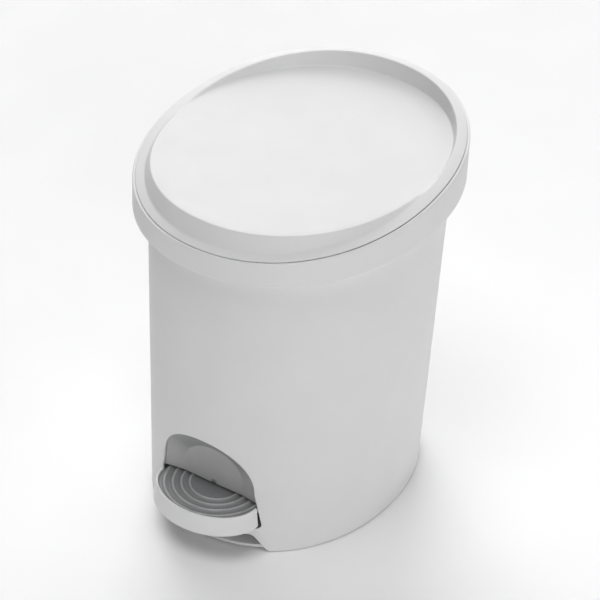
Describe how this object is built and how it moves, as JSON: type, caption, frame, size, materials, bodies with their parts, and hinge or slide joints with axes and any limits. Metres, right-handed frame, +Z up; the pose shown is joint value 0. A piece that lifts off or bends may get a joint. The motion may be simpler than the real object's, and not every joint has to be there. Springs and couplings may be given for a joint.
{
  "type": "pedal trash can",
  "caption": "Small oval pedal bin: tapered white plastic shell with slanted collar, foot pedal in an arched niche, rear-hinged lid and lift-out bucket.",
  "frame": {"origin": "centre of the object's footprint box on the floor", "axes": "+X to the right seen from the pedal side, -Y towards the front (pedal), +Y to the lid hinge, +Z up"},
  "size_m": [0.2392, 0.2974, 0.3162],
  "materials": {
    "white_plastic": "satin",
    "lid_plastic": "satin",
    "grey_plastic": "satin",
    "tread_rubber": "fine matt grain",
    "bucket_plastic": "satin",
    "black_rubber": "matt",
    "grip_plastic": "satin",
    "zinc_steel": "zinc plated"
  },
  "bodies": {
    "body": {"outer_body": "white_plastic", "niche_insert": "grey_plastic", "base_plate": "white_plastic", "foot_pad_front_left": "black_rubber", "foot_pad_front_right": "black_rubber", "foot_pad_rear_left": "black_rubber", "foot_pad_rear_right": "black_rubber", "base_screw_1": "zinc_steel", "base_screw_2": "zinc_steel", "base_screw_3": "zinc_steel", "base_screw_4": "zinc_steel", "pedal_axle": "zinc_steel", "axle_clip_left": "zinc_steel", "axle_clip_right": "zinc_steel", "hinge_pin": "zinc_steel", "rod_guide_lower": "grey_plastic", "rod_guide_upper": "grey_plastic"},
    "pedal": {"pedal_lever": "zinc_steel", "pedal_shell": "white_plastic", "pedal_tread": "tread_rubber", "pedal_screw_1": "zinc_steel", "pedal_screw_2": "zinc_steel"},
    "lid": {"lid": "lid_plastic", "rod_pin": "zinc_steel"},
    "rod": {"push_rod": "zinc_steel", "rod_foot": "black_rubber"},
    "bucket": {"inner_bucket": "bucket_plastic"},
    "bail": {"bucket_bail": "zinc_steel", "bail_grip": "grip_plastic"}
  },
  "joints": [
    {"name": "lid_open", "type": "hinge", "parent": "body", "child": "lid", "pos_m": [0, 0.1437, 0.302], "axis": [-1, 0, 0], "range_deg": [0, 75]},
    {"name": "pedal_press", "type": "hinge", "parent": "body", "child": "pedal", "pos_m": [0, -0.0373, 0.024], "axis": [1, 0, 0], "range_deg": [0, 9]},
    {"name": "rod_swing", "type": "hinge", "parent": "lid", "child": "rod", "pos_m": [0, 0.124, 0.2948], "axis": [-1, 0, 0], "range_deg": [-73.4, 0]},
    {"name": "bucket_lift", "type": "slide", "parent": "body", "child": "bucket", "axis": [0, 0, 1], "range_m": [0, 0.01]},
    {"name": "bail_swing", "type": "hinge", "parent": "bucket", "child": "bail", "pos_m": [0, -0.00205, 0.26452], "axis": [-1, 0, 0], "range_deg": [0, 14]}
  ],
  "couplings": [
    {"joint": "pedal_press", "follows": "lid_open", "ratio": 0.12},
    {"joint": "rod_swing", "follows": "lid_open", "ratio": -0.97867}
  ]
}
